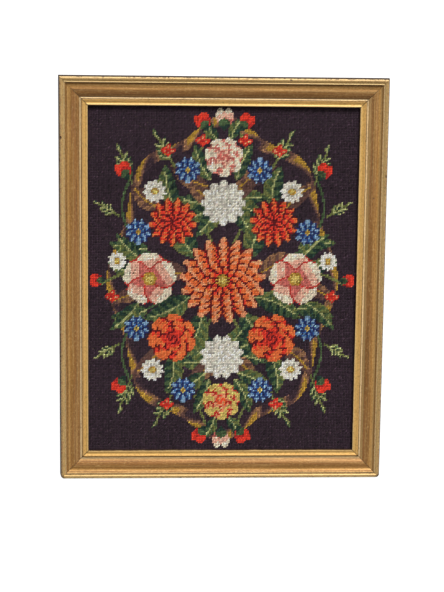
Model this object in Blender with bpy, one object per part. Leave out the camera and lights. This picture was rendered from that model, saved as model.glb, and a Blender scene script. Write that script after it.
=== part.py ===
"""Needlepoint canvas panel in a moulded gilt frame, lying on its back.

Metres, +Z up. +Z is also the way the picture faces, +Y is the top of the picture and +X its right side.
The origin is at the middle of the frame's back, so the frame rests on the plane Z = 0.

Five pieces: four mitred lengths of one moulding, and the worked canvas that lies in their rebate.
"""

import math

import bmesh
import bpy
from mathutils import Matrix, Vector

MM = 0.001

# Driving dimensions, in millimetres
FRAME_WIDTH = 510.4
FRAME_HEIGHT = 634.0
RAIL_WIDTH = 45.2
GAP = 0.3

# Back and sides of the moulding
REBATE_WIDTH = 7.0
REBATE_HEIGHT = 9.0
SIDE_STRAIGHT = 5.0
SIDE_TOP = 17.6
SIDE_FLARE = 1.6

# Outer bead, the highest member
BEAD_CENTRE = (4.9, 18.6)
BEAD_RADII = (3.3, 3.4)
BEAD_ENDS = (180.0, 15.0)

# Shallow hollow that climbs from the bead's quirk to a flat fillet, and the steep wall inside it
HOLLOW_FOOT = (8.3, 19.4)
FILLET_OUTER = (9.8, 20.0)
FILLET_INNER = (10.5, 20.0)
WALL_FOOT = (11.4, 18.9)

# Wide main member: down into a trough, a slow rise to its crest, then an S-shaped fall to its foot
TROUGH = (16.4, 16.2)
MAIN_CREST = (21.8, 17.1)
MAIN_KNEE = (30.9, 13.9)
MAIN_FOOT = (32.5, 13.2)

# Cavetto that climbs from the main member's foot to the inner arris
CAVETTO_RADII = (3.3, 1.8)
CAVETTO_END = 335.0
ARRIS_OUTER = (35.8, 14.6)
ARRIS_INNER = (36.4, 14.7)

# Sight moulding: an S-shaped fall to its lowest line, and the thin lip that covers the canvas
SIGHT_LOWEST = (41.2, 13.3)
LIP_TOP = (44.2, 14.2)
LIP_SHOULDER = (44.9, 14.0)
LIP_EDGE = 12.8

# Worn outer corners at the bottom of the picture: height, distance in from the outer edge, radius there
CORNER_LEVELS = (
    (-10.0, 0.0, 7.6),
    (SIDE_STRAIGHT, 0.0, 7.6),
    (SIDE_TOP, SIDE_FLARE, 6.0),
    (30.0, SIDE_FLARE, 13.0),
)
CORNER_CLEARANCE = 0.2

# Canvas: a bare sheet, and the field of wool stitches that stands proud of both its faces
MESH_PITCH = 2.54
STITCHES_ACROSS = 167
STITCHES_UP = 216
CANVAS_EDGE_GAP = 0.5
BARE_THICKNESS = 1.2
WORKED_THICKNESS = 2.4


def arc(centre, radii, start, end, steps):
    """Points on an elliptical arc, from one angle to another in degrees, both ends included."""
    points = []
    for i in range(steps + 1):
        angle = math.radians(start + (end - start) * i / steps)
        points.append((centre[0] + radii[0] * math.cos(angle), centre[1] + radii[1] * math.sin(angle)))
    return points


def slow_rise(start, crest, steps):
    """An S-shaped rise, level at both ends, without its first point."""
    points = []
    for i in range(1, steps + 1):
        t = i / steps
        lift = (1.0 - math.cos(math.pi * t)) / 2.0
        points.append((start[0] + (crest[0] - start[0]) * t, start[1] + (crest[1] - start[1]) * lift))
    return points


def curve_away(level_end, steep_end, steps):
    """A curve that is level at its first end and steepest at its last, without its first point."""
    run = steep_end[0] - level_end[0]
    drop = steep_end[1] - level_end[1]
    points = []
    for i in range(1, steps + 1):
        t = i / steps
        points.append((level_end[0] + run * t, level_end[1] + drop * t * t))
    return points


def moulding_section():
    """The moulding's closed outline as (distance in from the outer edge, height above the back)."""
    rebate_edge = RAIL_WIDTH - REBATE_WIDTH
    cavetto_centre = (MAIN_FOOT[0], MAIN_FOOT[1] + CAVETTO_RADII[1])
    points = [(0.0, 0.0), (0.0, SIDE_STRAIGHT), (SIDE_FLARE, SIDE_TOP)]
    points += arc(BEAD_CENTRE, BEAD_RADII, *BEAD_ENDS, 11)
    points += [HOLLOW_FOOT]
    points += curve_away(HOLLOW_FOOT, FILLET_OUTER, 4)
    points += [FILLET_INNER]
    points += reversed(curve_away(TROUGH, WALL_FOOT, 5))
    points += [TROUGH]
    points += slow_rise(TROUGH, MAIN_CREST, 7)
    points += curve_away(MAIN_CREST, MAIN_KNEE, 9)
    points += reversed(curve_away(MAIN_FOOT, MAIN_KNEE, 4)[:-1])
    points += arc(cavetto_centre, CAVETTO_RADII, 270.0, CAVETTO_END, 6)
    points += [ARRIS_OUTER, ARRIS_INNER]
    points += slow_rise(ARRIS_INNER, SIGHT_LOWEST, 8)
    points += slow_rise(SIGHT_LOWEST, LIP_TOP, 5)
    points += [LIP_SHOULDER, (RAIL_WIDTH, LIP_EDGE), (RAIL_WIDTH, REBATE_HEIGHT)]
    points += [(rebate_edge, REBATE_HEIGHT), (rebate_edge, 0.0)]
    return points


def rounded_plate_outline(inset, radius):
    """An outline just outside the frame, with the two bottom corners rounded and the top ones square."""
    half_x = FRAME_WIDTH / 2.0 + CORNER_CLEARANCE - inset
    half_y = FRAME_HEIGHT / 2.0 + CORNER_CLEARANCE - inset
    centre_x = half_x - radius
    centre_y = radius - half_y
    points = arc((-centre_x, centre_y), (radius, radius), 180.0, 270.0, 8)
    points += arc((centre_x, centre_y), (radius, radius), 270.0, 360.0, 8)
    points += [(half_x, half_y), (-half_x, half_y)]
    return points


def clear_scene():
    for item in list(bpy.data.objects):
        bpy.data.objects.remove(item, do_unlink=True)


def new_collection(name):
    collection = bpy.data.collections.new(name)
    bpy.context.scene.collection.children.link(collection)
    return collection


def make_material(name, colour, roughness, metallic):
    material = bpy.data.materials.new(name)
    material.use_nodes = True
    shader = material.node_tree.nodes["Principled BSDF"]
    shader.inputs["Base Color"].default_value = (*colour, 1.0)
    shader.inputs["Roughness"].default_value = roughness
    shader.inputs["Metallic"].default_value = metallic
    return material


def extruded_outline(name, points, length, collection):
    """A flat outline in millimetres, extruded to a length about its own plane and made a closed mesh."""
    curve = bpy.data.curves.new(name, "CURVE")
    curve.dimensions = "2D"
    curve.fill_mode = "BOTH"
    curve.extrude = length * MM / 2.0
    spline = curve.splines.new("POLY")
    spline.points.add(len(points) - 1)
    for point, (x, y) in zip(spline.points, points):
        point.co = (x * MM, y * MM, 0.0, 1.0)
    spline.use_cyclic_u = True
    drawn = bpy.data.objects.new(name + "_outline", curve)
    collection.objects.link(drawn)
    depsgraph = bpy.context.evaluated_depsgraph_get()
    mesh = bpy.data.meshes.new_from_object(drawn.evaluated_get(depsgraph))
    mesh.name = name
    bpy.data.objects.remove(drawn, do_unlink=True)
    work = bmesh.new()
    work.from_mesh(mesh)
    bmesh.ops.remove_doubles(work, verts=work.verts, dist=1e-6)
    bmesh.ops.recalc_face_normals(work, faces=work.faces)
    work.to_mesh(mesh)
    work.free()
    solid = bpy.data.objects.new(name, mesh)
    collection.objects.link(solid)
    return solid


def stacked_outlines(name, levels, collection):
    """A solid through closed outlines of the same number of points, given as (height, points) upwards."""
    work = bmesh.new()
    rings = []
    for height, points in levels:
        rings.append([work.verts.new((x * MM, y * MM, height * MM)) for x, y in points])
    for lower, upper in zip(rings, rings[1:]):
        for i in range(len(lower)):
            work.faces.new((lower[i - 1], lower[i], upper[i], upper[i - 1]))
    work.faces.new(reversed(rings[0]))
    work.faces.new(rings[-1])
    bmesh.ops.triangulate(work, faces=work.faces[:])
    mesh = bpy.data.meshes.new(name)
    work.to_mesh(mesh)
    work.free()
    solid = bpy.data.objects.new(name, mesh)
    collection.objects.link(solid)
    return solid


def hide_as_guide(item):
    item.hide_render = True
    item.display_type = "WIRE"


def add_cut(item, cutter, operation):
    cut = item.modifiers.new(cutter.name, "BOOLEAN")
    cut.operation = operation
    cut.object = cutter
    cut.solver = "EXACT"


def add_mitre_cutter(rail, end, length, cutters):
    """A block parented to the rail, whose near face is the mitre plane less half the joint's gap."""
    size = 4.0 * RAIL_WIDTH * MM
    bpy.ops.mesh.primitive_cube_add(size=size)
    cutter = bpy.context.active_object
    cutter.name = f"{rail.name}_mitre_{'right' if end > 0 else 'left'}"
    for holder in list(cutter.users_collection):
        holder.objects.unlink(cutter)
    cutters.objects.link(cutter)
    outward = Vector((end, 1.0, 0.0)).normalized()
    near = Vector((end * length * MM / 2.0, 0.0, 0.0)) - outward * GAP * MM / 2.0
    cutter.parent = rail
    cutter.location = near + outward * size / 2.0
    cutter.rotation_euler = (0.0, 0.0, math.radians(45.0))
    hide_as_guide(cutter)
    return cutter


def make_rail(name, turn, length, reach, material, plate, parts, cutters):
    """One mitred length of moulding, its local X along the rail and its local Y in towards the canvas."""
    rail = extruded_outline(name, moulding_section(), length, parts)
    along_x = Matrix(((0.0, 0.0, 1.0), (1.0, 0.0, 0.0), (0.0, 1.0, 0.0)))
    rail.data.transform(along_x.to_4x4())
    rail.data.shade_smooth()
    rail.data.set_sharp_from_angle(angle=math.radians(28.0))
    rail.data.materials.append(material)
    angle = math.radians(turn)
    rail.rotation_euler = (0.0, 0.0, angle)
    rail.location = Matrix.Rotation(angle, 3, "Z") @ Vector((0.0, -reach * MM, 0.0))
    for end in (-1.0, 1.0):
        add_cut(rail, add_mitre_cutter(rail, end, length, cutters), "DIFFERENCE")
    add_cut(rail, plate, "INTERSECT")
    return rail


def make_box(name, width, height, thickness, middle_z, collection):
    bpy.ops.mesh.primitive_cube_add(size=1.0)
    box = bpy.context.active_object
    box.name = name
    box.data.name = name
    for holder in list(box.users_collection):
        holder.objects.unlink(box)
    collection.objects.link(box)
    box.data.transform(Matrix.Diagonal((width * MM, height * MM, thickness * MM, 1.0)))
    box.location = (0.0, 0.0, middle_z * MM)
    return box


def make_frame(parts, cutters):
    gilt = make_material("aged_gilt", (0.46, 0.29, 0.12), 0.42, 0.55)
    levels = [(height, rounded_plate_outline(inset, radius)) for height, inset, radius in CORNER_LEVELS]
    plate = stacked_outlines("worn_corner_plate", levels, cutters)
    hide_as_guide(plate)
    half_width = FRAME_WIDTH / 2.0
    half_height = FRAME_HEIGHT / 2.0
    make_rail("frame_rail_bottom", 0.0, FRAME_WIDTH, half_height, gilt, plate, parts, cutters)
    make_rail("frame_rail_right", 90.0, FRAME_HEIGHT, half_width, gilt, plate, parts, cutters)
    make_rail("frame_rail_top", 180.0, FRAME_WIDTH, half_height, gilt, plate, parts, cutters)
    make_rail("frame_rail_left", 270.0, FRAME_HEIGHT, half_width, gilt, plate, parts, cutters)


def make_canvas(parts, cutters):
    wool = make_material("worked_wool", (0.045, 0.026, 0.034), 0.92, 0.0)
    opening = 2.0 * (RAIL_WIDTH - REBATE_WIDTH + CANVAS_EDGE_GAP)
    middle = REBATE_HEIGHT - GAP - WORKED_THICKNESS / 2.0
    canvas = make_box(
        "needlepoint_canvas", FRAME_WIDTH - opening, FRAME_HEIGHT - opening, BARE_THICKNESS, middle, parts
    )
    canvas.data.materials.append(wool)
    field = make_box(
        "stitched_field",
        STITCHES_ACROSS * MESH_PITCH,
        STITCHES_UP * MESH_PITCH,
        WORKED_THICKNESS,
        middle,
        cutters,
    )
    hide_as_guide(field)
    add_cut(canvas, field, "UNION")


clear_scene()
panel = new_collection("framed_needlepoint_panel")
guides = new_collection("cutters_and_guides")
make_frame(panel, guides)
make_canvas(panel, guides)
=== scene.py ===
"""The looks of a needlepoint panel in a gilt moulding, lying on its back with its face up.

Metres, +Z up. +Y is the top of the picture and +X its right side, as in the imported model.
"""

import math

import bpy
import numpy as np
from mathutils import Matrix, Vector, noise


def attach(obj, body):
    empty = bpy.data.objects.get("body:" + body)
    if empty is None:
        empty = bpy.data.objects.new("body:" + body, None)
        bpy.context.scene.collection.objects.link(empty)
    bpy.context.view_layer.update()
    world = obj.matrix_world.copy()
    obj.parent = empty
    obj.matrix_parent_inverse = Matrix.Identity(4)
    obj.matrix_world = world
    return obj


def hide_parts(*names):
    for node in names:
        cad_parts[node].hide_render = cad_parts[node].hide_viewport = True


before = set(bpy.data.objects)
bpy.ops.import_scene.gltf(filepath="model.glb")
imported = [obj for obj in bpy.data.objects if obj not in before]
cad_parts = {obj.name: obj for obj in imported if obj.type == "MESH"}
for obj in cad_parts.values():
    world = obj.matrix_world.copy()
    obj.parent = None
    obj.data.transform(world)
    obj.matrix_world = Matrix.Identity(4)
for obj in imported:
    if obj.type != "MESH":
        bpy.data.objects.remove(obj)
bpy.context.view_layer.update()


# Moulding: four lengths of one softwood moulding, mitred and glued. The face is gilt with bronze paint
# and toned with a brown wash that stays dark in the quirks; the sides are painted dark brown, and the
# back and the rebate are bare wood. Each length is the CAD one, with loops cut across it and waved a little.
MM = 0.001
FRAME_WIDTH = 510.4 * MM
FRAME_HEIGHT = 634 * MM
RAIL_WIDTH = 45.2 * MM
REBATE_HEIGHT = 9 * MM
LIP_HEIGHT = 12.8 * MM
SIDE_TOP = 17.6 * MM
SLACK = 0.1 * MM
WELD_DISTANCE = 1e-6
FLAT_ANGLE = math.radians(0.3)
SMOOTH_ANGLE = math.radians(30)
MITRE_CLEARANCE = 1 * MM
CUT_SPACING = 8 * MM
WAVE_HEIGHT = 0.1 * MM
WAVE_SIDEWAYS = 0.8
WAVES_PER_METRE = 17.0
WAVES_CLOSER_ACROSS = 3.0
WAVE_FADE = 30 * MM

RAILS = {
    # name: (axis along the rail, side of the picture that it is on)
    "top": (0, 1),
    "bottom": (0, -1),
    "left": (1, -1),
    "right": (1, 1),
}

# Small chips in the gilt: rail, then in millimetres the place along it and in from the outer edge, the
# height and the size. Each is an uneven pebble, drawn out along the rail and flattened.
CHIPS = (
    ("left", 222, 3.8, 22.0, 1.9),
    ("top", 101, 4.2, 22.2, 1.5),
    ("right", 166, 3.8, 22.0, 1.5),
    ("right", 131, 22.0, 17.3, 0.9),
    ("left", -118, 3.2, 21.6, 0.9),
    ("bottom", -64, 3.0, 21.4, 1.0),
    ("bottom", 187, 5.2, 22.1, 0.8),
    ("top", -176, 44.6, 13.2, 0.7),
)
CHIP_UNEVENNESS = 0.5
CHIP_LUMPS_PER_METRE = 900.0
CHIP_DRAWN_OUT = 1.7
CHIP_FLATTENED = 0.7

# Colours of the toned gilt across the moulding, by the distance in from the outer edge in millimetres
GILT_STOPS = (
    (0.0, (54, 40, 30)),
    (1.9, (50, 36, 25)),
    (2.3, (96, 72, 46)),
    (3.1, (206, 172, 122)),
    (5.0, (192, 156, 98)),
    (7.0, (216, 178, 116)),
    (7.9, (204, 166, 104)),
    (8.4, (196, 164, 114)),
    (9.2, (208, 180, 134)),
    (10.3, (200, 166, 114)),
    (11.4, (176, 128, 66)),
    (12.2, (140, 96, 43)),
    (12.8, (146, 102, 50)),
    (13.8, (190, 142, 80)),
    (15.4, (200, 150, 82)),
    (17.0, (180, 129, 63)),
    (20.0, (176, 126, 63)),
    (24.0, (158, 108, 52)),
    (28.0, (160, 110, 56)),
    (31.0, (178, 130, 72)),
    (32.2, (168, 122, 66)),
    (33.0, (232, 200, 154)),
    (35.2, (250, 212, 146)),
    (35.8, (230, 188, 130)),
    (36.5, (214, 160, 84)),
    (38.0, (233, 183, 106)),
    (41.2, (222, 174, 94)),
    (43.0, (228, 184, 108)),
    (44.7, (246, 204, 136)),
    # the lip's inner edge face, painted dark brown as the shade of the gap at the sight edge
    (45.15, (92, 60, 34)),
)
# Colours laid over the stops: dirt, bronze wash and rubbed gilt. In the per-length bands further down they
# also serve as painted shade and painted highlight.
GRIME_AND_PAINTED_SHADE = (46, 33, 22)
BRONZE_WASH_AND_PAINTED_SHADE = (96, 70, 40)
RUBBED_GILT_AND_PAINTED_HIGHLIGHT = (244, 212, 146)
RED_CLAY = (192, 128, 88)
BARE_WOOD = (176, 134, 88)
AGED_WOOD = (160, 118, 74)
OLD_WOOD = (128, 90, 56)
WOOD_STAIN = (84, 58, 38)
CHIP_WOOD = (70, 46, 30)
GESSO_CRUMBS = (138, 104, 72)
SIDE_BROWN = (40, 27, 16)
SIDE_BROWN_LIGHT = (66, 46, 28)

# Where each length's tone departs from those stops: rail, from and to across it in millimetres, colour,
# share. They are partly wear and wiping, and partly painted shade (the darker bands) and painted highlight
# (the paler bands), for shading that the lamp and the section here don't give.
WEAR_AND_PAINTED_LIGHT_BANDS = (
    ("top", 2.1, 3.3, RUBBED_GILT_AND_PAINTED_HIGHLIGHT, 0.5),
    ("top", 8.0, 10.0, RUBBED_GILT_AND_PAINTED_HIGHLIGHT, 0.6),
    ("top", 10.6, 12.0, GRIME_AND_PAINTED_SHADE, 0.63),
    ("top", 17.5, 24.0, BRONZE_WASH_AND_PAINTED_SHADE, 0.14),
    ("top", 31.4, 33.7, GRIME_AND_PAINTED_SHADE, 0.57),
    ("top", 42.8, 44.8, RUBBED_GILT_AND_PAINTED_HIGHLIGHT, 0.4),
    ("bottom", 2.1, 3.9, RUBBED_GILT_AND_PAINTED_HIGHLIGHT, 0.8),
    ("bottom", 4.8, 6.2, BRONZE_WASH_AND_PAINTED_SHADE, 0.25),
    ("bottom", 6.0, 7.6, RUBBED_GILT_AND_PAINTED_HIGHLIGHT, 0.25),
    ("bottom", 8.0, 9.8, BRONZE_WASH_AND_PAINTED_SHADE, 0.45),
    ("bottom", 29.6, 31.4, BRONZE_WASH_AND_PAINTED_SHADE, 0.25),
    ("bottom", 31.8, 33.8, RUBBED_GILT_AND_PAINTED_HIGHLIGHT, 0.15),
    ("bottom", 35.3, 36.6, GRIME_AND_PAINTED_SHADE, 0.6),
    ("left", 1.8, 3.0, GRIME_AND_PAINTED_SHADE, 0.5),
    ("left", 3.8, 5.4, BRONZE_WASH_AND_PAINTED_SHADE, 0.06),
    ("left", 7.8, 9.0, RUBBED_GILT_AND_PAINTED_HIGHLIGHT, 0.25),
    ("left", 13.2, 14.8, BRONZE_WASH_AND_PAINTED_SHADE, 0.3),
    ("left", 31.0, 32.8, BRONZE_WASH_AND_PAINTED_SHADE, 0.2),
    ("left", 36.2, 38.8, BRONZE_WASH_AND_PAINTED_SHADE, 0.22),
    ("right", 6.6, 8.4, RUBBED_GILT_AND_PAINTED_HIGHLIGHT, 0.4),
    ("right", 12.2, 14.4, RUBBED_GILT_AND_PAINTED_HIGHLIGHT, 0.2),
    ("right", 29.0, 31.8, RUBBED_GILT_AND_PAINTED_HIGHLIGHT, 0.26),
)
TOUCH_FADE = 0.35  # millimetres
TOUCH_PICKS_RAIL = (0.0, 0.1)  # metres from the picture's middle towards the rail

# Where the gilt's layers come in or fade out: distances in from the outer edge, up from the picture's
# middle (LOWER_HALF), or from the mitre's line and the worn corner (FROM_)
MAIN_STARTS = (15.0 * MM, 17.2 * MM)
MAIN_ENDS = (32.6 * MM, 30.8 * MM)
SIDE_STARTS = (3.0 * MM, 1.8 * MM)
BEAD_STARTS = (2.2 * MM, 3.0 * MM)
BEAD_ENDS = (7.0 * MM, 5.0 * MM)
GRIT_THICKENS = (14.0 * MM, 10.0 * MM)
EDGE_WEAR = (4.0 * MM, 2.2 * MM)
SEAM_STARTS = (17.0 * MM, 21.0 * MM)
LOWER_SEAM_STARTS = (9.0 * MM, 12.0 * MM)
LOWER_HALF = (0.1, -0.1)
SEAM_DARKENS = (33.0 * MM, 36.0 * MM)
FROM_SEAM = (1.6 * MM, 0.3 * MM)
FROM_WORN_CORNER = (10.0 * MM, 6.0 * MM)
CORNER_RAGGEDNESS = 10.0 * MM
WANDER = 1.1 * MM

# A band of duller metal on the arris, from and to in millimetres from the outer edge. Its share and the
# clay's on the bead are given for the level rails and for the upright ones.
CHALKY_ARRIS = (33.8, 35.9)
CHALKY_SHARE = (0.3, 0.85)
BEAD_CLAY_SHARE = (0.2, 0.45)

# Noise drawn out along a rail: its scale along the rail and across it
STREAKS = (10.0, 700.0)
DRAWN_LINES = (2.5, 430.0)
BRUSH_MARKS = (60.0, 2200.0)
FLECKS = (260.0, 560.0)
WOOD_RINGS = (5.0, 170.0)
WOOD_FIBRES = (40.0, 1500.0)
CLAY_SHIFT = (3.0, 5.0, 7.0)

# The rail's flat layout: where each band starts up the map, and how far it reaches
MAP_LENGTH = 0.998
MAP_HEIGHT = 22.2 * MM
END_BAND = (0.01, 0.07)
END_WIDTH = 0.45
BACK_BAND = (0.1, 0.1)
REBATE_BAND = (0.21, 0.05)
SIDE_BAND = (0.27, 0.08)
FACE_BAND = (0.37, 0.6)
FACE_LEAN = 0.02


def screen_colour(colour):
    """A colour as a screen shows it, 0 to 255, turned into the linear one that a shader takes."""
    linear = []
    for part in colour:
        share = part / 255
        linear.append(share / 12.92 if share <= 0.04045 else ((share + 0.055) / 1.055) ** 2.4)
    return (*linear, 1.0)


class Value:
    """A socket of a material. Sums on it add Math nodes, and make() adds any other node."""

    def __init__(self, socket):
        self.socket = socket

    def make(self, kind, settings=None, sockets=None, stops=None, output=0):
        """Adds a node of that kind, with its settings, ramp stops and its sockets' values or links."""
        node = self.socket.id_data.nodes.new(kind)
        for name, value in (settings or {}).items():
            setattr(node, name, value)
        if stops:
            ramp = node.color_ramp.elements
            while len(ramp) > 1:
                ramp.remove(ramp[-1])
            ramp[0].position, ramp[0].color = stops[0]
            for position, colour in stops[1:]:
                ramp.new(position).color = colour
        for name, value in (sockets or {}).items():
            if isinstance(value, Value):
                self.socket.id_data.links.new(value.socket, node.inputs[name])
            else:
                node.inputs[name].default_value = value
        return Value(node.outputs[output])

    def maths(self, operation, first, second=0.0):
        return self.make("ShaderNodeMath", {"operation": operation}, {0: first, 1: second})

    def __add__(self, other):
        return self.maths("ADD", self, other)

    def __sub__(self, other):
        return self.maths("SUBTRACT", self, other)

    def __mul__(self, other):
        return self.maths("MULTIPLY", self, other)

    def __radd__(self, other):
        return self.maths("ADD", other, self)

    def __rsub__(self, other):
        return self.maths("SUBTRACT", other, self)

    def __rmul__(self, other):
        return self.maths("MULTIPLY", other, self)

    def __abs__(self):
        return self.maths("ABSOLUTE", self)

    def between(self, low, high):
        """The value taken from the span low to high to the span 0 to 1, smoothly and held at its ends."""
        return self.make(
            "ShaderNodeMapRange",
            {"interpolation_type": "SMOOTHSTEP"},
            {"Value": self, "From Min": low, "From Max": high},
        )

    def ramp(self, stops):
        """The colour at this value on a ramp of places and screen colours."""
        linear = [(place, screen_colour(colour)) for place, colour in stops]
        return self.make("ShaderNodeValToRGB", None, {0: self}, linear)

    def tint(self, colour, share):
        """This colour with another one laid over it by a share from 0 to 1."""
        return self.make("ShaderNodeMix", {"data_type": "RGBA"}, {0: share, 6: self, 7: colour}, output=2)

    def stretched(self, scale, shift=(0.0, 0.0, 0.0)):
        """These coordinates, scaled along each axis."""
        return self.make("ShaderNodeMapping", None, {"Vector": self, "Scale": scale, "Location": shift})

    def clouds(self, scale, detail=2.0, roughness=0.5):
        """Noise from 0 to 1 on these coordinates."""
        return self.make(
            "ShaderNodeTexNoise",
            None,
            {"Vector": self, "Scale": scale, "Detail": detail, "Roughness": roughness},
        )

    def bump(self, strength, distance):
        """The surface's normal with this value as small relief."""
        return self.make(
            "ShaderNodeBump", None, {"Strength": strength, "Distance": distance, "Height": self}
        )


def new_material(name, **constants):
    """A material and its shader, with the sockets that are the same all over set to their values."""
    material = bpy.data.materials.new(name)
    material.use_nodes = True
    shader = material.node_tree.nodes["Principled BSDF"]
    for socket, value in constants.items():
        shader.inputs[socket.replace("_", " ")].default_value = value
    return material, shader


def finish_shader(shader, **links):
    """Links what changes over the surface to the shader's sockets."""
    for socket, value in links.items():
        shader.id_data.links.new(value.socket, shader.inputs[socket.replace("_", " ")])


def scale_along(along, scales):
    """A scale for each axis from one along the rail and one across it."""
    run, aside = scales
    return (run, aside, aside) if along == 0 else (aside, run, aside)


def toned_gilt(name, along):
    """Gilt for the rails that run along X (0) or Y (1), with each length's bands of painted shade and
    painted highlight.
    """
    material, shader = new_material(name, IOR=1.45)
    out = Value(shader.outputs[0])
    place = out.make("ShaderNodeTexCoord", output=3)
    axes = [out.make("ShaderNodeSeparateXYZ", None, {0: place}, output=i) for i in range(2)]
    from_left = FRAME_WIDTH / 2 - abs(axes[0])
    from_top = FRAME_HEIGHT / 2 - abs(axes[1])
    above_foot = axes[1] + FRAME_HEIGHT / 2
    across = out.maths("MINIMUM", from_left, from_top)

    def band(start, end):
        """A soft-edged band along the moulding, from and to in millimetres from its outer edge."""
        low = across.between((start - TOUCH_FADE) * MM, (start + TOUCH_FADE) * MM)
        return low * across.between((end + TOUCH_FADE) * MM, (end - TOUCH_FADE) * MM)

    streaks = place.stretched(scale_along(along, STREAKS)).clouds(1.0, 3.0, 0.6)
    drawn = place.stretched(scale_along(along, DRAWN_LINES)).clouds(1.0, 2.0, 0.5)
    fine = place.stretched(scale_along(along, BRUSH_MARKS)).clouds(1.0, 2.0, 0.5)
    flecks = place.stretched(scale_along(along, FLECKS)).clouds(1.0, 3.0, 0.7)
    clay = place.stretched(scale_along(along, STREAKS), CLAY_SHIFT).clouds(1.0, 3.0, 0.6)
    patches = place.clouds(24.0, 3.0, 0.55)
    dust = place.clouds(700.0, 2.0, 0.7)
    blots = place.clouds(260.0, 2.0, 0.5)

    on_main = across.between(*MAIN_STARTS) * across.between(*MAIN_ENDS)
    on_side = across.between(*SIDE_STARTS)
    on_bead = across.between(*BEAD_STARTS) * across.between(*BEAD_ENDS)
    mottled = 0.9 - 0.1 * on_main
    washed = streaks.between(0.44, 0.72) * (0.28 + 0.34 * on_main)
    washed = washed + drawn.between(0.52, 0.66) * 0.3 * on_main
    layers = [
        (BRONZE_WASH_AND_PAINTED_SHADE, washed),
        (RUBBED_GILT_AND_PAINTED_HIGHLIGHT, streaks.between(0.46, 0.24) * 0.32 * (1 - on_side)),
        (GRIME_AND_PAINTED_SHADE, patches.between(0.55, 0.8) * 0.16),
        (RUBBED_GILT_AND_PAINTED_HIGHLIGHT, drawn.between(0.46, 0.34) * 0.15 * on_main),
        (BRONZE_WASH_AND_PAINTED_SHADE, flecks.between(0.5, 0.7) * 0.5 * mottled),
        (RUBBED_GILT_AND_PAINTED_HIGHLIGHT, flecks.between(0.47, 0.3) * 0.34 * mottled * (1 - on_side)),
        (RED_CLAY, clay.between(0.5, 0.68) * 0.22 * on_main),
        (RED_CLAY, blots.between(0.5, 0.68) * BEAD_CLAY_SHARE[along] * on_bead),
    ]

    # dark specks all over, and dirt in the mitres, the longer below the middle of the picture
    specks = dust.between(0.52, 0.7) * (0.3 + 0.3 * across.between(*GRIT_THICKENS))
    layers.append((GRIME_AND_PAINTED_SHADE, specks + dust.between(0.7, 0.76) * 0.3))
    lower_seam = across.between(*LOWER_SEAM_STARTS) * axes[1].between(*LOWER_HALF)
    seam = abs(from_left - from_top).between(*FROM_SEAM)
    seam = seam * out.maths("MAXIMUM", across.between(*SEAM_STARTS), lower_seam)
    layers.append((GRIME_AND_PAINTED_SHADE, seam * (0.38 + 0.24 * across.between(*SEAM_DARKENS))))
    # each length's own bands: some wear, and painted shade and painted highlight
    for side, start, end, paint, share in WEAR_AND_PAINTED_LIGHT_BANDS:
        rail_along, sign = RAILS[side]
        if rail_along == along:
            on_rail = (axes[1 - along] * sign).between(*TOUCH_PICKS_RAIL)
            layers.append((paint, band(start, end) * on_rail * share))

    # the gilt is rubbed through on the picture's two bottom corners and here and there on the outer edge
    to_corner = out.maths("SQRT", from_left * from_left + above_foot * above_foot)
    worn = (to_corner + (blots - 0.5) * CORNER_RAGGEDNESS).between(*FROM_WORN_CORNER)
    layers.append((CHIP_WOOD, worn * 0.85))
    layers.append((GRIME_AND_PAINTED_SHADE, across.between(*EDGE_WEAR) * blots.between(0.52, 0.6) * 0.8))

    # the edge of each member wavers a little
    wander = (place.clouds(42.0, 2.0, 0.5) - 0.5) * WANDER
    colour = ((across + wander) * (1 / RAIL_WIDTH)).ramp(
        [(stop * MM / RAIL_WIDTH, shade) for stop, shade in GILT_STOPS]
    )
    for paint, share in layers:
        colour = colour.tint(screen_colour(paint), share)

    dull = out.maths("MAXIMUM", worn, on_side)
    metal = (0.36 + 0.12 * fine) * (1 - 0.85 * dull) * (1 - 0.5 * washed)
    finish_shader(
        shader,
        Base_Color=colour,
        Metallic=metal * (1 - band(*CHALKY_ARRIS) * CHALKY_SHARE[along]),
        Roughness=0.45 + 0.14 * fine + 0.12 * washed + 0.2 * dull,
        Normal=(fine * 0.5 + streaks * 0.3 + dust * 0.5 + flecks * 0.4).bump(0.35, 0.4 * MM),
    )
    return material


def bare_wood(name, along):
    """Planed softwood, darker with age, for the back and the rebate."""
    material, shader = new_material(name)
    place = Value(shader.outputs[0]).make("ShaderNodeTexCoord", output=3)
    rings = place.stretched(scale_along(along, WOOD_RINGS)).clouds(1.0, 3.0, 0.55)
    fibre = place.stretched(scale_along(along, WOOD_FIBRES)).clouds(1.0, 2.0, 0.5)
    stains = place.clouds(16.0, 3.0, 0.6)
    colour = rings.ramp([(0.3, BARE_WOOD), (0.52, AGED_WOOD), (0.7, OLD_WOOD)])
    colour = colour.tint(screen_colour(OLD_WOOD), fibre.between(0.45, 0.8) * 0.5)
    colour = colour.tint(screen_colour(WOOD_STAIN), stains.between(0.52, 0.78) * 0.55)
    finish_shader(
        shader,
        Base_Color=colour,
        Roughness=0.62 + 0.22 * fibre,
        Normal=(fibre * 0.6 + rings).bump(0.4, 0.3 * MM),
    )
    return material


def painted_side(name):
    """Thin dark brown paint on the sides, rubbed to a lighter brown and dull with dust."""
    material, shader = new_material(name, Specular_IOR_Level=0.05)
    place = Value(shader.outputs[0]).make("ShaderNodeTexCoord", output=3)
    brushed = place.stretched((30.0, 30.0, 500.0)).clouds(1.0, 3.0, 0.6)
    rubbed = place.clouds(120.0, 3.0, 0.6)
    colour = brushed.ramp([(0.3, SIDE_BROWN), (0.7, SIDE_BROWN_LIGHT)])
    finish_shader(
        shader,
        Base_Color=colour.tint(screen_colour(CHIP_WOOD), rubbed.between(0.6, 0.75) * 0.6),
        Roughness=0.7 + 0.25 * brushed,
        Normal=(brushed + rubbed).bump(0.3, 0.3 * MM),
    )
    return material


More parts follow.
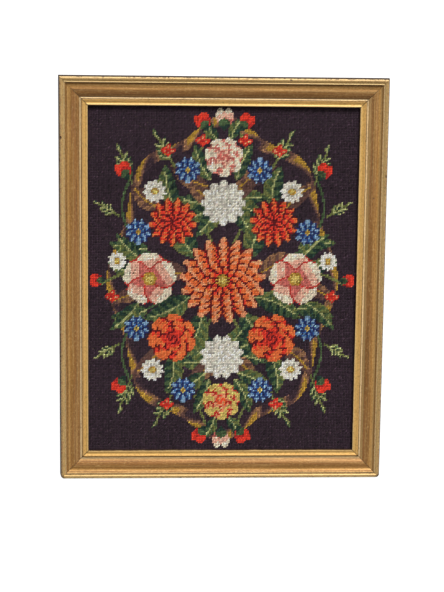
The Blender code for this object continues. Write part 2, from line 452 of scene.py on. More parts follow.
def chipped_wood(name):
    """Dark stained wood and a little gesso that show where the gilt is knocked off."""
    material, shader = new_material(name)
    crumbs = Value(shader.outputs[0]).make("ShaderNodeTexCoord", output=3).clouds(2600.0, 2.0, 0.6)
    finish_shader(
        shader,
        Base_Color=crumbs.ramp([(0.4, CHIP_WOOD), (0.68, GESSO_CRUMBS)]),
        Roughness=0.7 + 0.2 * crumbs,
    )
    return material


def deselect_everything():
    for item in bpy.context.selected_objects:
        item.select_set(False)


def make_active(item):
    deselect_everything()
    item.select_set(True)
    bpy.context.view_layer.objects.active = item


def positions(mesh):
    """A mesh's vertices as rows of x, y, z."""
    place = np.empty(len(mesh.vertices) * 3)
    mesh.vertices.foreach_get("co", place)
    return place.reshape(-1, 3)


def set_positions(mesh, place):
    mesh.vertices.foreach_set("co", place.ravel())
    mesh.update()


def cut_into_lengths(along, half_length):
    """Loops across the mesh in edit mode, evenly spaced between the feet of its mitres."""
    count = 2 * round(half_length / CUT_SPACING)
    direction = Vector((0.0, 0.0, 0.0))
    direction[along] = 1.0
    for i in range(count + 1):
        bpy.ops.mesh.select_all(action="SELECT")
        bpy.ops.mesh.bisect(plane_co=direction * (2 * i / count - 1) * half_length, plane_no=direction)


def wave_face(mesh, along, half_length):
    """Lifts and lowers the moulded face a little, as a planed and gessoed moulding is never quite even."""
    place = positions(mesh)
    for row in place:
        if row[2] > LIP_HEIGHT + SLACK:
            fade = min(1.0, max(0.0, (half_length - abs(row[along])) / WAVE_FADE))
            spot = Vector(row) * WAVES_PER_METRE
            spot[1 - along] *= WAVES_CLOSER_ACROSS
            elsewhere = spot + Vector((31.0, 7.0, 3.0))
            row[2] += WAVE_HEIGHT * fade * noise.noise(spot)
            row[1 - along] += WAVE_HEIGHT * WAVE_SIDEWAYS * fade * noise.noise(elsewhere)
    set_positions(mesh, place)


def chip_pebble(side, run, inward, height, size):
    """An uneven pebble where one chip goes."""
    along, sign = RAILS[side]
    half = (FRAME_HEIGHT if along == 0 else FRAME_WIDTH) / 2
    spot = [0.0, 0.0, height * MM]
    spot[along] = run * MM
    spot[1 - along] = sign * (half - inward * MM)
    deselect_everything()
    bpy.ops.mesh.primitive_ico_sphere_add(subdivisions=2, radius=size * MM, location=spot)
    pebble = bpy.context.active_object
    bpy.ops.object.transform_apply(location=True, rotation=True, scale=True)
    place = positions(pebble.data)
    for row in place:
        away = Vector(row) - Vector(spot)
        away *= 1.0 + CHIP_UNEVENNESS * noise.noise(Vector(row) * CHIP_LUMPS_PER_METRE)
        away[along] *= CHIP_DRAWN_OUT
        away[2] *= CHIP_FLATTENED
        row[:] = Vector(spot) + away
    set_positions(pebble.data, place)
    return pebble


def knock_chips(rail, side, wood):
    """Takes the rail's chips out of it; every rail has two or more."""
    pebbles = [chip_pebble(*row) for row in CHIPS if row[0] == side]
    deselect_everything()
    for pebble in pebbles:
        pebble.data.materials.append(wood)
        pebble.select_set(True)
    bpy.context.view_layer.objects.active = pebbles[0]
    bpy.ops.object.join()
    cut = rail.modifiers.new("chips", "BOOLEAN")
    cut.operation = "DIFFERENCE"
    cut.solver = "EXACT"
    cut.material_mode = "TRANSFER"
    cut.object = pebbles[0]
    make_active(rail)
    bpy.ops.object.modifier_apply(modifier=cut.name)
    bpy.data.objects.remove(pebbles[0], do_unlink=True)


def lay_out_rail_map(rail, along, sign):
    """A flat layout of the rail: its length across the map, and its ends and sides in bands up the map."""
    mesh = rail.data
    length = FRAME_WIDTH if along == 0 else FRAME_HEIGHT
    half = (FRAME_HEIGHT if along == 0 else FRAME_WIDTH) / 2
    layout = mesh.uv_layers.new(name="OFBake")
    for face in mesh.polygons:
        outward = sign * face.normal[1 - along]
        for loop in face.loop_indices:
            spot = mesh.vertices[mesh.loops[loop].vertex_index].co
            run = 0.5 + MAP_LENGTH * spot[along] / length
            inward = (half - sign * spot[1 - along]) / RAIL_WIDTH
            height = spot[2] / MAP_HEIGHT
            if abs(face.normal[along]) > 0.5:
                run = END_BAND[0] + END_WIDTH * inward + (0.5 if spot[along] > 0 else 0.0)
                rise = END_BAND[0] + END_BAND[1] * height
            elif face.normal[2] < -0.5:
                rise = BACK_BAND[0] + BACK_BAND[1] * inward
            elif outward < -0.9 and spot[2] < REBATE_HEIGHT + SLACK:
                rise = REBATE_BAND[0] + REBATE_BAND[1] * height
            elif outward > 0.9:
                rise = SIDE_BAND[0] + SIDE_BAND[1] * height
            else:
                rise = FACE_BAND[0] + FACE_BAND[1] * inward + FACE_LEAN * height
            layout.data[loop].uv = (run, rise)


gilt = [toned_gilt("toned_gilt_level", 0), toned_gilt("toned_gilt_upright", 1)]
wood = [bare_wood("bare_wood_level", 0), bare_wood("bare_wood_upright", 1)]
side_paint = painted_side("dark_side_paint")
chip_wood = chipped_wood("chipped_gilt_edge")
for side, (along, sign) in RAILS.items():
    node = "frame_rail_" + side
    rail = bpy.data.objects.new("gilt_rail_" + side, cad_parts[node].data.copy())
    bpy.context.scene.collection.objects.link(rail)
    half_length = (FRAME_WIDTH if along == 0 else FRAME_HEIGHT) / 2 - RAIL_WIDTH - MITRE_CLEARANCE
    make_active(rail)
    bpy.ops.mesh.customdata_custom_splitnormals_clear()
    bpy.ops.object.mode_set(mode="EDIT")
    bpy.ops.mesh.select_all(action="SELECT")
    bpy.ops.mesh.remove_doubles(threshold=WELD_DISTANCE)
    bpy.ops.mesh.dissolve_limited(angle_limit=FLAT_ANGLE)
    cut_into_lengths(along, half_length)
    bpy.ops.object.mode_set(mode="OBJECT")
    wave_face(rail.data, along, half_length)
    rail.data.materials.clear()
    for material in (gilt[along], wood[along], side_paint):
        rail.data.materials.append(material)
    for face in rail.data.polygons:
        is_end = abs(face.normal[along]) > 0.5
        in_rebate = face.center[2] < REBATE_HEIGHT + SLACK and sign * face.normal[1 - along] < -0.5
        is_side = sign * face.normal[1 - along] > 0.5 and face.center[2] < SIDE_TOP
        face.material_index = 1 if is_end or in_rebate or face.normal[2] < -0.5 else 2 if is_side else 0
    knock_chips(rail, side, chip_wood)
    make_active(rail)
    bpy.ops.object.shade_smooth_by_angle(angle=SMOOTH_ANGLE)
    lay_out_rail_map(rail, along, sign)
    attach(rail, "root")
    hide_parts(node)


# Canvas: one sheet of open cotton canvas, ten holes to the inch, cut some 4 mm larger all round than the
# worked field. It lies in the rebate behind the lip, stretched flat, and has eased a little in its middle.
CANVAS_WIDTH = 433 * MM
CANVAS_HEIGHT = 556.6 * MM
CANVAS_TOP = 7.9 * MM
CANVAS_THICKNESS = 0.9 * MM
CANVAS_SQUARES = (56, 72)
PITCH = 2.54 * MM
STITCHES_ACROSS = 167
STITCHES_UP = 216
WORKED_WIDTH = STITCHES_ACROSS * PITCH
WORKED_HEIGHT = STITCHES_UP * PITCH
SHADE_FADE = 0.4 * MM
SAG = 0.55 * MM
SAG_WAVES = 0.22 * MM
SHEET_MAP_MARGIN = 0.002
COTTON = (176, 152, 112)
COTTON_DARK = (112, 90, 62)
SHADED_COTTON = (40, 31, 32)


def ease(x, y):
    """How far the stretched canvas lies below its edges, with a few slow waves."""
    bowl = (1 - (2 * x / CANVAS_WIDTH) ** 2) * (1 - (2 * y / CANVAS_HEIGHT) ** 2)
    waves = np.sin(17 * x + 9 * y + 0.6) * np.sin(14 * y - 6 * x) + 0.5 * np.sin(34 * x - 21 * y + 2)
    return -bowl * (SAG + SAG_WAVES * waves)


def planar_map(mesh):
    """The mesh's own flat layout, as it is seen from the front."""
    place = positions(mesh)[:, :2]
    low = place.min(0)
    span = place.max(0) - low
    corners = np.empty(len(mesh.loops), int)
    mesh.loops.foreach_get("vertex_index", corners)
    layout = mesh.uv_layers.new(name="OFBake")
    spread = (1 - 2 * SHEET_MAP_MARGIN) * (place[corners] - low) / span
    layout.data.foreach_set("uv", (SHEET_MAP_MARGIN + spread).ravel())


def canvas_cotton():
    """Plain woven cotton threads, pale at the bare margin, with painted shade under the stitches."""
    material, shader = new_material("canvas_cotton", Roughness=0.9, Sheen_Weight=0.1)
    out = Value(shader.outputs[0])
    place = out.make("ShaderNodeTexCoord", output=3)
    axes = [out.make("ShaderNodeSeparateXYZ", None, {0: place}, output=i) for i in range(2)]
    turn = 2 * math.pi / PITCH
    across = out.maths("COSINE", (axes[0] + PITCH / 2) * turn)
    up = out.maths("COSINE", axes[1] * turn)
    threads = out.maths("MAXIMUM", across, up).between(-0.1, 0.9)
    fuzz = place.clouds(1800.0, 2.0, 0.6)
    worked_x = abs(axes[0]).between(WORKED_WIDTH / 2, WORKED_WIDTH / 2 - SHADE_FADE)
    worked_y = abs(axes[1]).between(WORKED_HEIGHT / 2, WORKED_HEIGHT / 2 - SHADE_FADE)
    colour = threads.ramp([(0.0, COTTON_DARK), (0.6, COTTON)])
    colour = colour.tint(screen_colour(COTTON_DARK), fuzz.between(0.4, 0.75) * 0.4)
    # painted shade on the canvas under the worked field, lightened in specks where it shows between stitches
    showing = place.clouds(420.0, 1.0, 0.5).between(0.66, 0.74)
    colour = colour.tint(screen_colour(SHADED_COTTON), worked_x * worked_y * (1 - 0.4 * showing))
    finish_shader(shader, Base_Color=colour, Normal=(threads + fuzz * 0.2).bump(0.8, 0.5 * MM))
    return material


deselect_everything()
bpy.ops.mesh.primitive_grid_add(x_subdivisions=CANVAS_SQUARES[0], y_subdivisions=CANVAS_SQUARES[1], size=1.0)
canvas = bpy.context.active_object
canvas.name = "cotton_canvas"
canvas.scale = (CANVAS_WIDTH, CANVAS_HEIGHT, 1.0)
bpy.ops.object.transform_apply(location=True, rotation=True, scale=True)
spread = positions(canvas.data)
spread[:, 2] = CANVAS_TOP + ease(spread[:, 0], spread[:, 1])
set_positions(canvas.data, spread)
thicken = canvas.modifiers.new("thickness", "SOLIDIFY")
thicken.thickness = CANVAS_THICKNESS
thicken.offset = -1.0
make_active(canvas)
bpy.ops.object.modifier_apply(modifier=thicken.name)
while canvas.data.uv_layers:
    canvas.data.uv_layers.remove(canvas.data.uv_layers[0])
canvas.data.materials.append(canvas_cotton())
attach(canvas, "root")
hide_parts("needlepoint_canvas")


# Chart: which wool each stitch is worked in. A spray of garden flowers round a large dahlia, the same on
# both sides of the middle, on an aubergine ground, inside a narrow scrolled strap of brown and mustard.
# Places and sizes are in stitches from the middle.
WOOLS = {
    "aubergine": (57, 42, 52),
    "plum": (66, 48, 56),
    "brown": (108, 76, 68),
    "tan": (156, 114, 82),
    "deep_green": (38, 62, 52),
    "green": (80, 102, 66),
    "olive": (122, 128, 72),
    "lime": (182, 184, 122),
    "wine": (112, 28, 32),
    "crimson": (204, 50, 44),
    "red": (250, 68, 48),
    "orange": (255, 124, 66),
    "peach": (252, 164, 116),
    "rose": (214, 116, 104),
    "shell": (252, 190, 164),
    "cream": (255, 236, 208),
    "grey_lilac": (160, 148, 154),
    "mist": (212, 206, 190),
    "white": (252, 244, 226),
    "navy": (40, 52, 104),
    "blue": (60, 104, 162),
    "sky": (142, 176, 206),
    "mustard": (190, 148, 58),
    "straw": (226, 200, 110),
}
WOOL_NAMES = list(WOOLS)
LEAF_WOOLS = ("plum", "brown", "tan", "deep_green", "green", "olive", "lime")
GREENS = ("deep_green", "green", "olive")
BROWNS = ("brown", "brown", "tan")
REDS = ("wine", "crimson", "red", "red", "orange")
DEEP_REDS = ("wine", "crimson", "crimson", "red", "red")
ROSE_REDS = ("wine", "crimson", "red", "orange")
FLAME_REDS = ("wine", "crimson", "red", "red", "orange", "peach")
PINKS = ("rose", "rose", "shell", "cream")
WHITES = ("grey_lilac", "mist", "white", "white")
BLUES = ("navy", "blue", "sky")
ORANGES = ("red", "orange", "peach", "straw")
EYES = ("mustard", "straw")
STRAP_ACROSS = 66  # stitches from the middle to the strap at the sides, and up to it
STRAP_UP = 94

COLUMN, ROW = np.meshgrid(
    np.arange(STITCHES_ACROSS) - (STITCHES_ACROSS - 1) / 2, np.arange(STITCHES_UP) - (STITCHES_UP - 1) / 2
)
chart = np.zeros((STITCHES_UP, STITCHES_ACROSS), int)


def work(mask, wool):
    """Charts the masked stitches in one wool."""
    chart[mask] = WOOL_NAMES.index(wool)


def shade(mask, light, wools):
    """Charts the masked stitches in a row of wools, from light 0 (the first) to light 1 (the last)."""
    step = np.clip((light * len(wools)).astype(int), 0, len(wools) - 1)
    for i, wool in enumerate(wools):
        work(mask & (step == i), wool)


def along_and_off(x, y, angle, length, width):
    """Places on the chart as shares of a length from x, y at an angle, and of a half width beside it."""
    turn = math.radians(angle)
    dx = COLUMN - x
    dy = ROW - y
    u = (dx * math.cos(turn) + dy * math.sin(turn)) / length
    v = (dy * math.cos(turn) - dx * math.sin(turn)) / (width / 2)
    return u, v


def petal(x, y, angle, length, width, wools, full=0.55, rim=None):
    """A petal from its root at x, y: darkest at the root and on its shaded side, lightest at the tip."""
    u, v = along_and_off(x, y, angle, length, width)
    safe = np.clip(u, 0, 1)
    half = np.sin(np.pi * safe ** 1.35) ** full
    inside = (u > 0) & (u < 1) & (np.abs(v) < half)
    shade(inside, 0.15 + 0.8 * safe + 0.12 * v, wools)
    if rim:
        work(inside & (np.abs(v) > half - 2 / width) & (u < 0.93), rim)


def leaf(x, y, angle, length, width, wools=GREENS, rib="lime"):
    """A pointed leaf with a pale rib and side veins, bent to one side."""
    u, v = along_and_off(x, y, angle, length, width)
    safe = np.clip(u, 0, 1)
    v = v - 0.35 * np.sin(np.pi * safe)
    half = np.sin(np.pi * safe ** 0.8) ** 0.9
    inside = (u > 0) & (u < 1) & (np.abs(v) < half)
    veins = 0.18 * np.sign(v) * np.cos(2 * math.pi * (safe * length / 5 - np.abs(v) * 0.6))
    shade(inside, 0.5 + 0.38 * v + veins, wools)
    work(inside & (np.abs(v) * width < 1.05) & (u < 0.85), rib)


def stem(points, wool="green", thick=1.3):
    """A smooth stem through a few points."""
    p = np.array(points, float)
    last = len(p) - 1
    t = np.linspace(0, last, 80 * len(p))
    i = np.clip(t.astype(int), 0, last - 1)
    f = (t - i)[:, None]
    a, b, c, d = p[np.clip(i - 1, 0, last)], p[i], p[i + 1], p[np.clip(i + 2, 0, last)]
    bend = (2 * a - 5 * b + 4 * c - d) * f ** 2 + (3 * b - a - 3 * c + d) * f ** 3
    route = 0.5 * (2 * b + (c - a) * f + bend)
    for x, y in route:
        work((np.abs(COLUMN - x) <= thick / 2) & (np.abs(ROW - y) <= thick / 2), wool)


def heart(x, y, radius, wools):
    """A round flower heart, speckled, lightest in its middle."""
    away = np.hypot(COLUMN - x, ROW - y)
    speckle = 0.25 * np.sin(2.3 * COLUMN + 1.1 * ROW) * np.sin(1.7 * ROW - 0.9 * COLUMN)
    shade(away < radius, 0.95 - 0.8 * away / radius + speckle, wools)


def dahlia(x, y, radius, wools, petals=14, rings=4, rim="wine", turn=0.0, full=0.6):
    """Rings of narrow petals, each ring shorter and turned half a petal."""
    for ring in range(rings):
        length = radius * (1 - 0.8 * ring / rings)
        count = max(6, round(petals * (1 - 0.55 * ring / rings)))
        width = 2 * math.pi * length * 0.9 / count
        for i in range(count):
            petal(x, y, turn + (i + 0.5 * (ring % 2)) * 360 / count, length, width, wools, full, rim)


def rose(x, y, radius, wools, rim, turn=0.0):
    """A full rose: three rings of broad petals that close round a swirled heart."""
    for length, count, shift in ((1.0, 7, 0.0), (0.76, 6, 25.0), (0.54, 5, 5.0)):
        reach = radius * length
        width = 2 * math.pi * reach / count * 0.95
        for i in range(count):
            petal(x, y, turn + shift + i * 360 / count, reach, width, wools, 0.35, rim)
    away = np.hypot(COLUMN - x, ROW - y)
    around = np.arctan2(ROW - y, COLUMN - x)
    shade(away < radius * 0.3, 0.5 + 0.5 * np.sin(2 * around + away * 1.9), wools[:3])


def wild_rose(x, y, radius, wools, rim, turn=90.0):
    """Five broad petals round a yellow eye."""
    for i in range(5):
        petal(x, y, turn + i * 72, radius, radius * 1.1, wools, 0.3, rim)
    heart(x, y, radius * 0.26, EYES)


def daisy(x, y, radius, turn):
    """Eleven narrow white petals round a yellow eye."""
    for i in range(11):
        petal(x, y, turn + i * 360 / 11, radius, max(2.0, radius * 0.42), ("mist", "white"), 0.7)
    heart(x, y, radius * 0.32, EYES)


def bud(x, y, angle, length, wools):
    """Two closed petals in a green cup."""
    petal(x, y, angle - 12, length, length * 0.55, wools, 0.6)
    petal(x, y, angle + 12, length, length * 0.5, wools, 0.6)
    petal(x, y, angle, length * 0.55, length * 0.5, ("deep_green", "green"), 0.6)


def sprig(x, y, angle, length):
    """A thin stalk with three pairs of small leaves and one at its tip."""
    turn = math.radians(angle)
    reach = np.array((math.cos(turn), math.sin(turn))) * length
    stem([(x, y), (x + reach[0], y + reach[1])], "olive", 1.1)
    for f in (0.3, 0.5, 0.7):
        size = length * 0.42 * (1.1 - 0.5 * f)
        for side in (-42, 42):
            leaf(x + reach[0] * f, y + reach[1] * f, angle + side, size, size * 0.45)
    leaf(x + reach[0], y + reach[1], angle, length * 0.3, length * 0.14)


def berries(x, y, spread):
    """Four red berries in a bunch."""
    for dx, dy in ((0, 0), (1, 0.7), (-1, 0.8), (0.1, 1.6)):
        heart(x + dx * spread, y + dy * spread, 1.7, ("crimson", "red", "peach"))


def strap():
    """The scrolled strap, twisted from plum through brown to mustard."""
    around = np.arctan2(ROW / STRAP_UP, COLUMN / STRAP_ACROSS)
    reach = np.hypot(COLUMN / STRAP_ACROSS, ROW / STRAP_UP)
    off = (reach - 1 - 0.045 * np.cos(8 * around)) * 70
    twist = 0.5 + 0.5 * np.sin(24 * around + off * 0.5)
    shade(np.abs(off) < 2.6, twist * 0.75 + 0.12 * (off + 1), ("plum", "brown", "tan", "mustard"))


def on_both_sides(draw, x, y, angle, *rest):
    """Charts a motif and its mirror image on the other side of the middle."""
    draw(x, y, angle, *rest)
    draw(-x, y, 180 - angle, *rest)


# Leaves behind the flowers: x, y of the root, angle, length, width
LEAVES = (
    (3, 48, 8, 25, 11), (3, 48, 38, 25, 11), (3, 48, -24, 25, 11), (3, 48, -56, 25, 11),
    (3, -48, -8, 25, 11), (3, -48, -38, 25, 11), (3, -48, 24, 25, 11), (3, -48, 56, 25, 11),
    (16, 14, 62, 34, 15), (22, 4, 18, 30, 14), (20, -10, -26, 32, 14), (12, -20, -64, 34, 15),
    (30, 46, 78, 26, 12), (38, 44, 40, 24, 11), (46, 20, 8, 24, 11), (48, 12, 44, 24, 10),
    (30, -46, -80, 26, 12), (38, -42, -44, 24, 11), (46, -18, -12, 24, 11), (52, -14, -44, 24, 10),
    (8, 62, 66, 24, 10), (10, 58, 30, 26, 10), (8, -62, -66, 24, 10), (10, -58, -30, 26, 10),
    (50, 4, 20, 22, 9), (50, -4, -24, 22, 9), (4, 86, 62, 16, 7), (4, -86, -62, 16, 7),
)
SPRIGS = ((56, 60, 70, 20), (56, -60, -70, 20), (64, 40, 30, 14), (64, -40, -30, 14), (30, 70, 60, 20),
          (30, -70, -60, 20))
BUDS = ((10, 92, 60, 12), (10, -92, -60, 12), (58, 62, 60, 12), (60, -60, -60, 12), (72, 0, 0, 10))

strap()
for s in (-1, 1):
    stem([(0, 10), (s * 14, 40), (s * 18, 66), (s * 10, 90)], "olive")
    stem([(0, -10), (s * 14, -40), (s * 18, -66), (s * 10, -90)], "olive")
    stem([(s * 30, 10), (s * 52, 22), (s * 62, 44), (s * 56, 66)])
    stem([(s * 30, -10), (s * 52, -22), (s * 62, -44), (s * 56, -66)])
    stem([(s * 40, 0), (s * 60, 4), (s * 74, -2)], "olive")
for i, (x, y, angle, length, width) in enumerate(LEAVES):
    wools, rib = (BROWNS, "mustard") if i % 4 == 1 else (GREENS, "lime")
    on_both_sides(leaf, x, y, angle, length, width, wools, rib)
for x, y, angle, length in SPRIGS:
    on_both_sides(sprig, x, y, angle, length)
for s in (-1, 1):
    for x, y in ((22, 68), (52, 30), (24, -69), (53, -30)):
        dahlia(s * x, y, 8, BLUES, 9, 2, "navy", 10 * s)
        heart(s * x, y, 1.8, ("straw", "mustard"))
    for x, y, radius in ((42, 55, 7.5), (43, -56, 7.5), (65, 12, 6)):
        daisy(s * x, y, radius, 10 * s)
    for x, y in ((68, -12), (13, 84), (34, 78), (34, -80)):
        berries(s * x, y, 2.5)
for x, y, angle, length in BUDS:
    on_both_sides(bud, x, y, angle, length, DEEP_REDS)
for s in (-1, 1):
    bud(0, s * 92, s * 90, 14, PINKS)
    wild_rose(s * 45, 1, 16, PINKS, "crimson")
    dahlia(s * 31, 36, 15, REDS, 13, 4, "wine", 7 * s)
    rose(s * 31, -36, 15, ROSE_REDS, "wine", 20 * s)
rose(0, 76, 12, PINKS, "rose", 15)
rose(0, -76, 12, ORANGES, "crimson", 15)
dahlia(0, 48, 14, WHITES, 12, 4, "mist", 0, 0.5)
dahlia(0, -48, 14, WHITES, 12, 4, "mist", 15, 0.5)
dahlia(0, 0, 27, FLAME_REDS, 17, 5, "wine", 5, 0.55)
heart(0, 0, 4.6, ("wine", "mustard", "straw"))


# Stitches: tent stitch in matt wool, one slanting stitch over each crossing of the canvas. On the face
# they rise to the right; on the back the same yarn takes longer, flatter steps to the next hole.
STITCH_TOP = 8.68 * MM
STITCH_ROOT = 7.72 * MM
STITCH_LENGTH = 3.95 * MM
STITCH_WIDTH = 2.1 * MM
STITCH_DIP = 0.1 * MM
STITCH_SLANT = math.radians(45)
BACK_LENGTH = 6.3 * MM
BACK_WIDTH = 1.7 * MM
BACK_MIDDLE = 6.86 * MM
BACK_DEPTH = 0.5 * MM
BACK_DIP = 0.4 * MM
BACK_SLANT = math.atan2(1.0, 2.0)
STITCH_SIDES = 3
LIGHT_FIBRE = (1.0, 0.96, 0.92, 1.0)
DARK_FIBRE = (0.0, 0.0, 0.0, 1.0)

# How the stitches differ: standard deviations, as shares unless the name says otherwise
TONE_WAVE = 0.05
STITCH_TONE = 0.2
COLUMN_TONE = 0.06
ROW_TONE = 0.045
CHANNEL_TONE = 0.02
PALE_FROM = 0.985  # a stitch whose draw from 0 to 1 is above this is paler by the share below
PALE_BY = 1.1
PLACE_METRES = 0.05 * MM
FRONT_SLANT_RADIANS = math.radians(3.5)
BACK_SLANT_RADIANS = math.radians(2.5)
LENGTH_SHARE = 0.03
WIDTH_SHARE = 0.06
HEIGHT_SHARE = 0.09
COLUMN_HEIGHT_SHARE = 0.04


def spun_wool():
    """Matt wool that takes each stitch's colour, with flecks of lighter and darker fibre."""
    material, shader = new_material("spun_wool", Roughness=0.95, Specular_IOR_Level=0.12)
    out = Value(shader.outputs[0])
    fibres = out.make("ShaderNodeTexCoord", output=3).clouds(2600.0, 2.0, 0.6)
    colour = out.make("ShaderNodeAttribute", {"attribute_name": "wool"})
    colour = colour.tint(LIGHT_FIBRE, fibres.between(0.56, 0.8) * 0.1)
    colour = colour.tint(DARK_FIBRE, fibres.between(0.45, 0.2) * 0.3)
    finish_shader(shader, Base_Color=colour, Normal=fibres.bump(0.3, 0.3 * MM))
    return material


def plump_stitch(name, length, width, depth, dip):
    """One stitch along X about its middle: a three-sided grain, its ends turned down."""
    deselect_everything()
    bpy.ops.mesh.primitive_uv_sphere_add(segments=STITCH_SIDES, ring_count=3, radius=1.0)
    stitch = bpy.context.active_object
    stitch.name = name
    stitch.rotation_euler = (0.0, -math.pi / 2, 0.0)
    bpy.ops.object.transform_apply(location=False, rotation=True, scale=False)
    place = positions(stitch.data)
    tips = np.abs(place[:, 0]) > 0.9
    place[~tips, 0] *= 1.2
    place[:, 0] *= length / 2
    place[:, 1] *= width / 2 / np.abs(place[:, 1]).max()
    heights = place[~tips, 2]
    place[~tips, 2] = (heights - heights.min()) / (heights.max() - heights.min()) * depth
    place[tips, 2] = dip
    set_positions(stitch.data, place)
    stitch.data.shade_smooth()
    return stitch


def instance_tree(stitch):
    """Geometry nodes that set one stitch on every point and turn it, size it and make it real."""
    tree = bpy.data.node_groups.new("lay_" + stitch.name, "GeometryNodeTree")
    tree.interface.new_socket("Geometry", in_out="INPUT", socket_type="NodeSocketGeometry")
    tree.interface.new_socket("Geometry", in_out="OUTPUT", socket_type="NodeSocketGeometry")
    start = tree.nodes.new("NodeGroupInput")
    end = tree.nodes.new("NodeGroupOutput")
    model = tree.nodes.new("GeometryNodeObjectInfo")
    model.inputs["Object"].default_value = stitch
    lay = tree.nodes.new("GeometryNodeInstanceOnPoints")
    real = tree.nodes.new("GeometryNodeRealizeInstances")
    turn = tree.nodes.new("FunctionNodeEulerToRotation")
    for name, target in (("turn", turn.inputs[0]), ("size", lay.inputs["Scale"])):
        read = tree.nodes.new("GeometryNodeInputNamedAttribute")
        read.data_type = "FLOAT_VECTOR"
        read.inputs["Name"].default_value = name
        tree.links.new(read.outputs["Attribute"], target)
    tree.links.new(turn.outputs[0], lay.inputs["Rotation"])
    tree.links.new(start.outputs[0], lay.inputs["Points"])
    tree.links.new(model.outputs["Geometry"], lay.inputs["Instance"])
    tree.links.new(lay.outputs["Instances"], real.inputs["Geometry"])
    tree.links.new(real.outputs["Geometry"], end.inputs[0])
    return tree


def lay_stitches(name, stitch, wool, place, turn, size, colour):
    """One piece of worked wool: a copy of the stitch at each place, with its turn, size and colour."""
    mesh = bpy.data.meshes.new(name)
    mesh.vertices.add(len(place))
    set_positions(mesh, place)
    for label, kind, key, rows in (
        ("turn", "FLOAT_VECTOR", "vector", turn),
        ("size", "FLOAT_VECTOR", "vector", size),
        ("wool", "FLOAT_COLOR", "color", colour),
    ):
        mesh.attributes.new(label, kind, "POINT").data.foreach_set(key, rows.astype(np.float32).ravel())
    piece = bpy.data.objects.new(name, mesh)
    bpy.context.scene.collection.objects.link(piece)
    laid = piece.modifiers.new("stitches", "NODES")
    laid.node_group = instance_tree(stitch)
    make_active(piece)
    bpy.ops.object.modifier_apply(modifier=laid.name)
    for label in ("turn", "size"):
        piece.data.attributes.remove(piece.data.attributes[label])
    while piece.data.uv_layers:
        piece.data.uv_layers.remove(piece.data.uv_layers[0])
    planar_map(piece.data)
    piece.data.materials.clear()
    piece.data.materials.append(wool)
    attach(piece, "root")
    return piece


draw = np.random.default_rng(41)
grid = chart.shape
palette = np.array([screen_colour(colour) for colour in WOOLS.values()])
dyed = palette[chart]
lot = 1 + TONE_WAVE * np.sin(ROW * 0.083 + 0.7 * np.sin(COLUMN * 0.05)) + draw.normal(0, STITCH_TONE, grid)
lot += draw.normal(0, COLUMN_TONE, (1, STITCHES_ACROSS)) + draw.normal(0, ROW_TONE, (STITCHES_UP, 1))
lot += PALE_BY * (draw.random(grid) > PALE_FROM)
dyed[..., :3] *= lot[..., None]
dyed[..., :3] *= 1 + draw.normal(0, CHANNEL_TONE, (*grid, 3))
dyed = np.clip(dyed, 0.0, 1.0)
stitch_x = COLUMN * PITCH + draw.normal(0, PLACE_METRES, grid)
stitch_y = ROW * PITCH + draw.normal(0, PLACE_METRES, grid)
fall = ease(stitch_x, stitch_y)
slant = STITCH_SLANT + draw.normal(0, FRONT_SLANT_RADIANS, grid)
swell = np.stack(
    (
        1 + draw.normal(0, LENGTH_SHARE, grid),
        1 + draw.normal(0, WIDTH_SHARE, grid),
        1 + draw.normal(0, HEIGHT_SHARE, grid) + draw.normal(0, COLUMN_HEIGHT_SHARE, (1, STITCHES_ACROSS)),
    ),
    axis=-1,
)
swell[..., 2] = np.minimum(swell[..., 2], 1.0)
level = np.zeros(grid)

wool = spun_wool()
front_stitch = plump_stitch(
    "front_stitch", STITCH_LENGTH, STITCH_WIDTH, STITCH_TOP - STITCH_ROOT, STITCH_DIP
)
back_stitch = plump_stitch("back_stitch", BACK_LENGTH, BACK_WIDTH, BACK_DEPTH, BACK_DIP)

is_ground = chart == WOOL_NAMES.index("aubergine")
is_leaf = np.isin(chart, [WOOL_NAMES.index(name) for name in LEAF_WOOLS])
upper = ROW > 0
groups = {
    "ground_wool_upper": is_ground & upper,
    "ground_wool_lower": is_ground & ~upper,
    "leaf_and_strap_wool": is_leaf,
    "flower_wool": ~is_ground & ~is_leaf,
}
for name, mask in groups.items():
    place = np.stack((stitch_x, stitch_y, STITCH_ROOT + fall), axis=-1)[mask]
    turn = np.stack((level, level, slant), axis=-1)[mask]
    lay_stitches(name, front_stitch, wool, place, turn, swell[mask], dyed[mask])

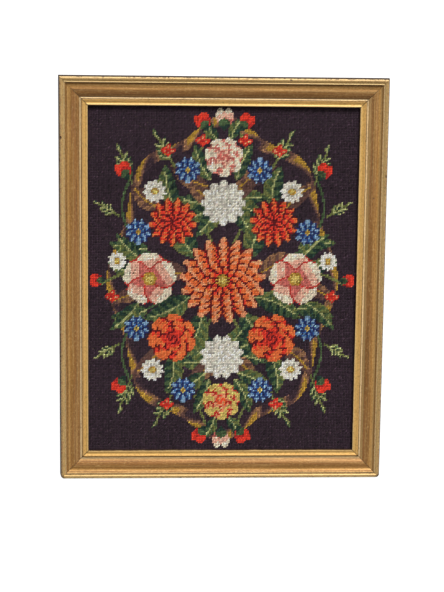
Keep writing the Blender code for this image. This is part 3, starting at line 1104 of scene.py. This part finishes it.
back_slant = BACK_SLANT + draw.normal(0, BACK_SLANT_RADIANS, grid)
for i, name in enumerate(("back_wool_lower", "back_wool_middle", "back_wool_upper")):
    mask = (ROW - ROW.min()) // (STITCHES_UP / 3) == i
    place = np.stack((stitch_x, stitch_y, BACK_MIDDLE + fall), axis=-1)[mask]
    turn = np.stack((level + math.pi, level, back_slant), axis=-1)[mask]
    lay_stitches(name, back_stitch, wool, place, turn, swell[mask], dyed[mask])
for model in (front_stitch, back_stitch):
    bpy.data.objects.remove(model, do_unlink=True)
planar_map(canvas.data)


# Studio: a white floor under a pale sky, one soft lamp beyond the top of the picture and a little to its
# right, and the camera above the panel.
FLOOR_SIZE = 8.0
FLOOR_GREY = (0.2, 0.2, 0.2, 1.0)
FLOOR_GLOW = 0.98
WHITE = (1.0, 1.0, 1.0, 1.0)
SKY_STRENGTH = 0.38
LAMP_PLACE = (3.4, 10.9, 7.4)
LAMP_SIZE = 6.4
LAMP_WATTS = 2250.0
CAMERA_PLACE = (-0.139, 0.3522, 2.3805)
CAMERA_TURN = (-9.034, -3.234, 0.641)
CAMERA_LENS = 93.25
CAMERA_CLIP = (0.05, 40.0)

scene = bpy.context.scene
scene.view_settings.view_transform = "Standard"
deselect_everything()
bpy.ops.mesh.primitive_plane_add(size=FLOOR_SIZE)
floor = bpy.context.active_object
floor.name = "studio_floor"
paper = new_material(
    "white_paper",
    Base_Color=FLOOR_GREY,
    Roughness=0.9,
    Emission_Color=WHITE,
    Emission_Strength=FLOOR_GLOW,
)[0]
floor.data.materials.append(paper)

sky = bpy.data.worlds.new("pale_sky")
sky.use_nodes = True
sky.node_tree.nodes["Background"].inputs["Color"].default_value = WHITE
sky.node_tree.nodes["Background"].inputs["Strength"].default_value = SKY_STRENGTH
scene.world = sky

lamp = bpy.data.lights.new("window_light", "AREA")
lamp.size = LAMP_SIZE
lamp.energy = LAMP_WATTS
holder = bpy.data.objects.new("window_light", lamp)
scene.collection.objects.link(holder)
holder.location = LAMP_PLACE
holder.rotation_euler = (-Vector(LAMP_PLACE)).to_track_quat("-Z", "Y").to_euler()

lens = bpy.data.cameras.new("camera")
lens.lens = CAMERA_LENS
lens.clip_start, lens.clip_end = CAMERA_CLIP
camera = bpy.data.objects.new("camera", lens)
scene.collection.objects.link(camera)
camera.location = CAMERA_PLACE
camera.rotation_euler = [math.radians(angle) for angle in CAMERA_TURN]
scene.camera = camera
